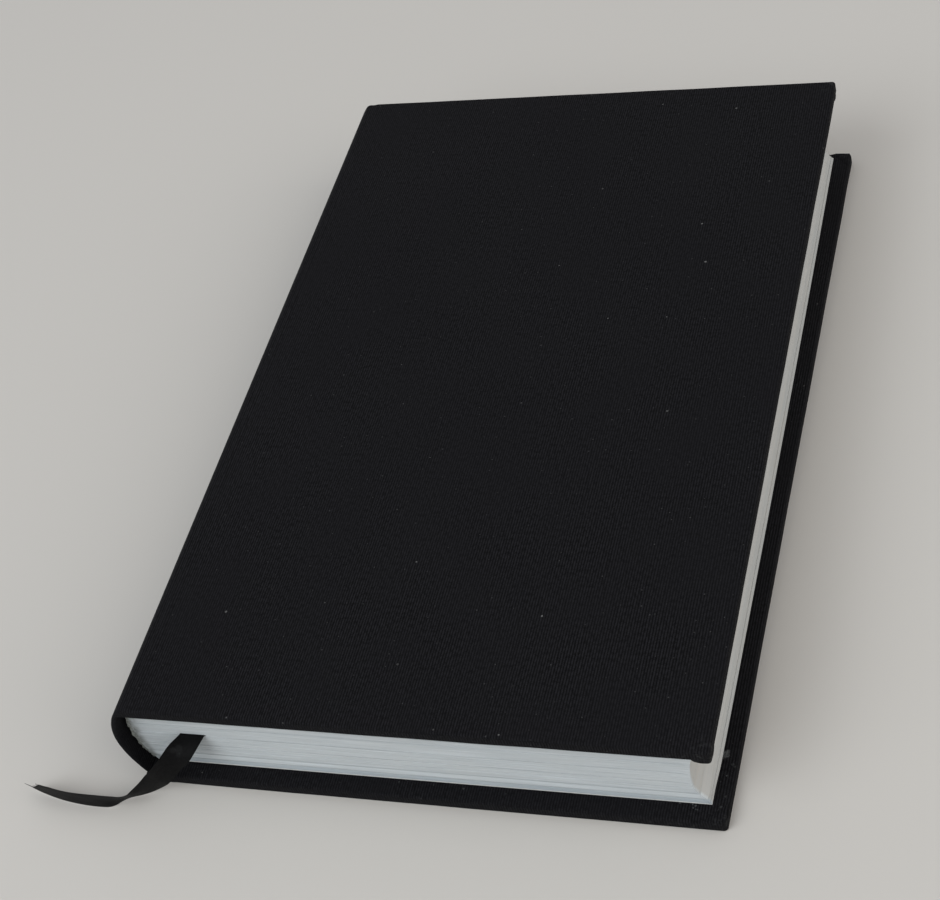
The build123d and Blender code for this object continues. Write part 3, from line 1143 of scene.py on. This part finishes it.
def leaf_edges():
    """The trimmed edges of the leaves, with painted light and shade on their faces."""
    material, tree, shader = new_material("leaf_edges", Specular_IOR_Level=0.2, Roughness=0.9)
    place = object_place(tree)
    stacked = use_group(tree, leaf_lines, {"Place": place, "Leaf": leaf_thickness})
    fore = marked(tree, "fore")
    clear = sums(tree, "MULTIPLY_ADD", fore, -fore_line_loss, 1.0)
    across, _, height = parts(tree, place)
    clear = times(tree, clear, ranged(tree, across, *sewn_reach, sewn_line_gain, 1.0))
    lines = times(tree, times(tree, stacked["Lines"], clear), leaf_line_share)
    bands = times(tree, times(tree, stacked["Bands"], clear), leaf_band_share)
    # painted light: the fore-edge faces take a darker warm beige for the warm light from the right, the
    # rest a cool white for the window light
    colour = mix_colour(tree, fore, cool_lit_paper_white, warm_lit_fore_edge_beige)
    colour = mix_colour(tree, lines, colour, leaf_line_and_shade_grey)
    colour = mix_colour(tree, bands, colour, leaf_band_grey)
    # painted shade: the lowest leaves, below endleaf_height, take a darker cool blue on the tail face for
    # the shade they lie in
    last = below(tree, height, endleaf_height, 1.0)
    tinted = sums(tree, "MULTIPLY_ADD", fore, -fore_tint_loss, 1.0)
    # painted light: the leaves below loose_leaf_height, above the lowest ones, are painted paler on the
    # tail face for the light from above that their face catches
    loose = below(tree, height, loose_leaf_height, loose_group_light_share)
    loose = times(tree, loose, sums(tree, "SUBTRACT", 1.0, last))
    colour = mix_colour(tree, times(tree, loose, tinted), colour, loose_group_painted_light)
    last = times(tree, times(tree, last, tinted), endleaf_shade_share)
    colour = mix_colour(tree, last, colour, endleaf_painted_shade_blue)
    # painted shade: dark lines in the grooves between the leaf groups at these two heights
    for level in (endleaf_height, loose_leaf_height):
        aside = sums(tree, "ABSOLUTE", sums(tree, "SUBTRACT", height, level))
        gap = times(tree, ranged(tree, aside, 0.0, 2 * leaf_thickness, gap_painted_shade_share, 0.0), tinted)
        colour = mix_colour(tree, gap, colour, leaf_line_and_shade_grey)
    # glue stain and painted shade: the leaf edges darken in blots next to the lining, for glue soaked into
    # them and for the shade in the gap beside the lining
    glued = marked(tree, "glue")
    blots = noise_value(tree, scaled(tree, place, glue_blot_scale), 3.0)
    glue_and_shade_blots = ranged(tree, blots, 0.3, 0.6, *glue_and_shade_shares)
    colour = mix_colour(tree, times(tree, glued, glue_and_shade_blots), colour, glue_and_shade_grey)
    grain = use_group(tree, paper_grain, {"Place": place, "Fibre": fibre_size})
    colour = mix_colour(tree, ranged(tree, grain["Cloud"], 0.35, 0.75, 0.0, 0.2), colour, paper_warm)
    tree.links.new(colour, shader["Base Color"])
    tree.links.new(bump(tree, stacked["Lines"], leaf_bump, 0.5), shader["Normal"])
    return material


def paper_sheet(name, white, warm):
    """A sheet of uncoated paper."""
    material, tree, shader = new_material(name, Specular_IOR_Level=0.25, Roughness=0.85)
    grain = use_group(tree, paper_grain, {"Place": flat_place(tree), "Fibre": fibre_size})
    colour = mix_colour(tree, ranged(tree, grain["Cloud"], 0.3, 0.75), white, warm)
    colour = mix_colour(tree, ranged(tree, grain["Grain"], 0.45, 0.8, 0.0, 0.15), colour, leaf_line_and_shade_grey)
    tree.links.new(colour, shader["Base Color"])
    tree.links.new(bump(tree, grain["Grain"], paper_bump, 0.4), shader["Normal"])
    return material


def grey_board():
    """Binder's board with its flecks of fibre."""
    material, tree, shader = new_material("grey_board", Specular_IOR_Level=0.2, Roughness=0.95)
    grain = use_group(tree, paper_grain, {"Place": object_place(tree), "Fibre": fibre_size})
    colour = mix_colour(tree, ranged(tree, grain["Grain"], 0.35, 0.65), board_dark, board_light)
    tree.links.new(colour, shader["Base Color"])
    tree.links.new(bump(tree, grain["Grain"], paper_bump, 0.6), shader["Normal"])
    return material


def glue_paper():
    """Grey lining paper stiff with glue."""
    material, tree, shader = new_material("glue_paper", Specular_IOR_Level=0.3, Roughness=0.7)
    grain = use_group(tree, paper_grain, {"Place": object_place(tree), "Fibre": glue_size})
    colour = mix_colour(tree, ranged(tree, grain["Grain"], 0.35, 0.65), glue_and_shade_grey, glue_light)
    tree.links.new(colour, shader["Base Color"])
    tree.links.new(bump(tree, grain["Grain"], glue_bump, 0.8), shader["Normal"])
    return material


def satin():
    """Black ribbon with fine threads across it."""
    material, tree, shader = new_material(
        "satin", Specular_IOR_Level=0.06, Sheen_Weight=0.004, Sheen_Roughness=0.4
    )
    flat = flat_place(tree)
    woven = use_group(tree, weave, {"Flat": flat, "Rib pitch": satin_rib, "Cross pitch": satin_cross})
    colour = mix_colour(tree, woven["Yarn"], satin_dark, satin_light)
    # painted sheen: lighter spots near the ribbon's exit from the leaves
    colour = add_scuffs_and_sheen(tree, flat, colour, ribbon_sheen_spots)
    tree.links.new(colour, shader["Base Color"])
    cloud = noise_value(tree, scaled(tree, flat, satin_cloud_scale), 3.0)
    tree.links.new(ranged(tree, cloud, 0.3, 0.7, *satin_roughness), shader["Roughness"])
    tree.links.new(bump(tree, woven["Height"], satin_depth, 0.6), shader["Normal"])
    return material


def give_finish(node, material):
    """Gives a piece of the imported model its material."""
    slots = frame["nodes"][node].data.materials
    slots.clear()
    slots.append(material)


# Finishes
rib_pitch = 0.000564
cross_pitch = 0.00042
weave_depth = 0.00006
corner_patch = 0.0012
rib_wander = 0.4
rib_wander_scale = (180.0, 60.0, 1.0)
cross_height_share = 0.35
slub_scale = (1500.0, 1100.0, 1.0)
weave_patch_scale = (75.0, 50.0, 1.0)
speck_edge_scale = (4000.0, 2600.0, 1.0)
scuff_grain_scale = (5200.0, 4200.0, 1.0)
scuff_raggedness = 1.6
cloth_cloud_scale = (28.0, 22.0, 1.0)
cloth_fade_share = 0.35
cloth_roughness = (0.72, 0.86)
corner_rub_share = 0.6
cloth_dark = (0.0015, 0.0015, 0.0017, 1)
cloth_light = (0.0172, 0.0170, 0.0197, 1)
cloth_faded = (0.0098, 0.0096, 0.0112, 1)
cloth_rubbed = (0.060, 0.062, 0.062, 1)
scuff_and_sheen_grey = (0.095, 0.101, 0.102, 1)
dust_white = (0.12, 0.12, 0.12, 1)
leaf_thickness = 0.0001
leaf_drift = 1.6
leaf_drift_scale = (14.0, 14.0, 250.0)
leaf_length_scale = (55.0, 55.0, 0.0)
leaf_band_ratio = 0.13
leaf_line_share = 0.46
leaf_band_share = 0.38
gap_painted_shade_share = 0.6
sewn_reach = (-0.052, -0.018)
sewn_line_gain = 1.55
fore_line_loss = 0.4
fore_tint_loss = 0.75
endleaf_shade_share = 0.4
loose_group_light_share = 0.3
glue_blot_scale = (600.0, 600.0, 350.0)
glue_and_shade_shares = (0.15, 0.9)
leaf_bump = 0.00004
fibre_size = 0.0004
grain_cloud_scale = (0.03, 0.03, 0.03)
paper_bump = 0.00002
# Leaf-edge paper: its cool white and the darker warm beige of the fore-edge are painted light, tints of the
# window light and of the warm light from the right
cool_lit_paper_white = (0.67, 0.71, 0.735, 1)
paper_warm = (0.62, 0.64, 0.63, 1)
warm_lit_fore_edge_beige = (0.555, 0.540, 0.510, 1)
endleaf_height = block_low.z + 0.0013
# Painted cool shade for the lowest leaves
endleaf_painted_shade_blue = (0.44, 0.52, 0.57, 1)
loose_leaf_height = block_low.z + 0.0032
# Painted light for the loose group of leaves
loose_group_painted_light = (0.80, 0.85, 0.88, 1)
leaf_line_and_shade_grey = (0.40, 0.43, 0.44, 1)
leaf_band_grey = (0.49, 0.53, 0.55, 1)
endpaper_white = (0.76, 0.76, 0.74, 1)
endpaper_warm = (0.742, 0.740, 0.716, 1)
board_dark = (0.20, 0.185, 0.165, 1)
board_light = (0.34, 0.32, 0.29, 1)
glue_size = 0.0006
glue_bump = 0.0001
glue_and_shade_grey = (0.19, 0.200, 0.185, 1)
glue_light = (0.42, 0.445, 0.415, 1)
satin_rib = 0.00018
satin_cross = 0.00016
satin_depth = 0.00002
satin_cloud_scale = (300.0, 120.0, 1.0)
satin_roughness = (0.5, 0.62)
satin_dark = (0.0015, 0.0015, 0.0016, 1)
satin_light = (0.0090, 0.0090, 0.0095, 1)
weave = make_weave()
dust = make_dust()
rubbing = make_rubbing()
scuff_and_sheen_spot = make_scuff_and_sheen_spot()
leaf_lines = make_leaf_lines()
paper_grain = make_grain()

# Specks and lint on the cloth: (spacing, size, share of places, strength)
dust_layers = [(0.014, 0.00026, 0.4, 1.0), (0.003, 0.00016, 0.45, 0.3)]
# Marks on the back cover's inner edges: (x, y, radius, strength)
back_marks = [
    (0.0608, -0.0806, 0.0011, 1.0),
    (0.0614, -0.0798, 0.0005, 0.9),
    (0.0628, -0.0826, 0.0004, 0.25),
    (0.0632, -0.0831, 0.0003, 0.22),
    (0.0620, -0.0852, 0.00022, 0.7),
    (0.0625, -0.0898, 0.0003, 0.3),
    (0.0620, -0.0921, 0.0003, 0.35),
    (0.0565, -0.0921, 0.00025, 0.8),
    (0.0571, -0.0923, 0.0003, 0.7),
    (0.0567, -0.0928, 0.00022, 0.6),
    (0.0573, -0.0931, 0.0002, 0.5),
    (0.0540, -0.0920, 0.00022, 0.9),
    (0.0100, -0.0928, 0.00025, 0.7),
    (-0.0040, -0.0925, 0.0002, 0.7),
]
# Painted sheen: lighter spots near the top of the ribbon's free stretch, where light glints on the satin:
# (across, along, radius, strength)
ribbon_sheen_spots = [
    (0.0006, 0.0070, 0.0011, 0.09),
    (0.0014, 0.0079, 0.0007, 0.09),
    (-0.0002, 0.0080, 0.0006, 0.07),
]
back_scuffs = []
for x, y, radius, strength in back_marks:
    skew_x, skew_y = askew(x, y, "back")
    back_scuffs.append((inner_start - (2 * x - skew_x), 2 * y - skew_y, radius, strength))

# The book
front_cloth = book_cloth("front_cloth", [])
back_cloth = book_cloth("back_cloth", back_scuffs)
spine_cloth = book_cloth("spine_cloth", [])
paper = paper_sheet("endpaper", endpaper_white, endpaper_warm)
board = grey_board()

for side, cloth in (("front", front_cloth), ("back", back_cloth)):
    front = side == "front"
    wrap = cover_wrap(side, cloth)
    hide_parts(f"{side}_cover_cloth")
    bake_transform(wrap)
    leaf = endpaper(f"{side}_endpaper", front, paper)
    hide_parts(f"{side}_pastedown")
    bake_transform(leaf)
    give_finish(f"{side}_board", board)

spine = spine_wrap(spine_cloth)
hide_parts("spine_cloth")
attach(spine, "text_block")
give_finish("spine_strip", board)

leaves = leaf_stack(leaf_edges(), paper_sheet("leaf_face", endpaper_white, endpaper_warm))
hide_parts("page_block")
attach(leaves, "text_block")

lining = glued_lining(glue_paper())
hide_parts("spine_lining")
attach(lining, "text_block")

marker, marker_line = ribbon(satin())
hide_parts("ribbon_marker")
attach(marker, "text_block")
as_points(marker_line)

# Floor, light and camera
floor_half = 1.6
floor_drop = 0.00005
floor_pale = (0.62, 0.60, 0.57, 1)
floor_mesh = bpy.data.meshes.new("floor")
floor_bm = bmesh.new()
bmesh.ops.create_grid(floor_bm, x_segments=1, y_segments=1, size=floor_half)
bmesh.ops.translate(floor_bm, verts=floor_bm.verts, vec=(0, 0, -floor_drop))
floor_bm.to_mesh(floor_mesh)
floor_bm.free()
floor_material = new_material("floor", Roughness=0.9, Base_Color=floor_pale)[0]
floor_mesh.materials.append(floor_material)
ground = bpy.data.objects.new("floor", floor_mesh)
bpy.context.scene.collection.objects.link(ground)


def area_light(name, place, power, colour):
    """A square soft light that faces the book."""
    light = bpy.data.lights.new(name, "AREA")
    light.size = light_size
    light.energy = power
    light.color = colour
    lamp = bpy.data.objects.new(name, light)
    lamp.location = place
    lamp.rotation_euler = (-Vector(place)).to_track_quat("-Z", "Y").to_euler()
    bpy.context.scene.collection.objects.link(lamp)


light_size = 1.2
room_colour = (0.97, 0.98, 1.0, 1)
room_strength = 0.5
area_light("window", place=(-0.7, -1.0, 1.2), power=12.0, colour=(0.94, 0.98, 1.0))
area_light("room", place=(1.2, -0.3, 0.9), power=7.0, colour=(1.0, 0.95, 0.88))
world = bpy.data.worlds.new("room_light")
world.use_nodes = True
background = world.node_tree.nodes["Background"].inputs
background["Color"].default_value = room_colour
background["Strength"].default_value = room_strength
bpy.context.scene.world = world
bpy.context.scene.view_settings.view_transform = "Standard"

lens = bpy.data.cameras.new("camera")
lens.sensor_fit = "HORIZONTAL"
lens.sensor_width = sensor_width_mm
lens.lens = focal_length_px * sensor_width_mm / image_width_px
viewer = bpy.data.objects.new("camera", lens)
turn = Matrix((camera_right, camera_up, camera_back)).transposed().to_4x4()
viewer.matrix_world = Matrix.Translation(camera_place) @ turn
bpy.context.scene.collection.objects.link(viewer)
bpy.context.scene.camera = viewer
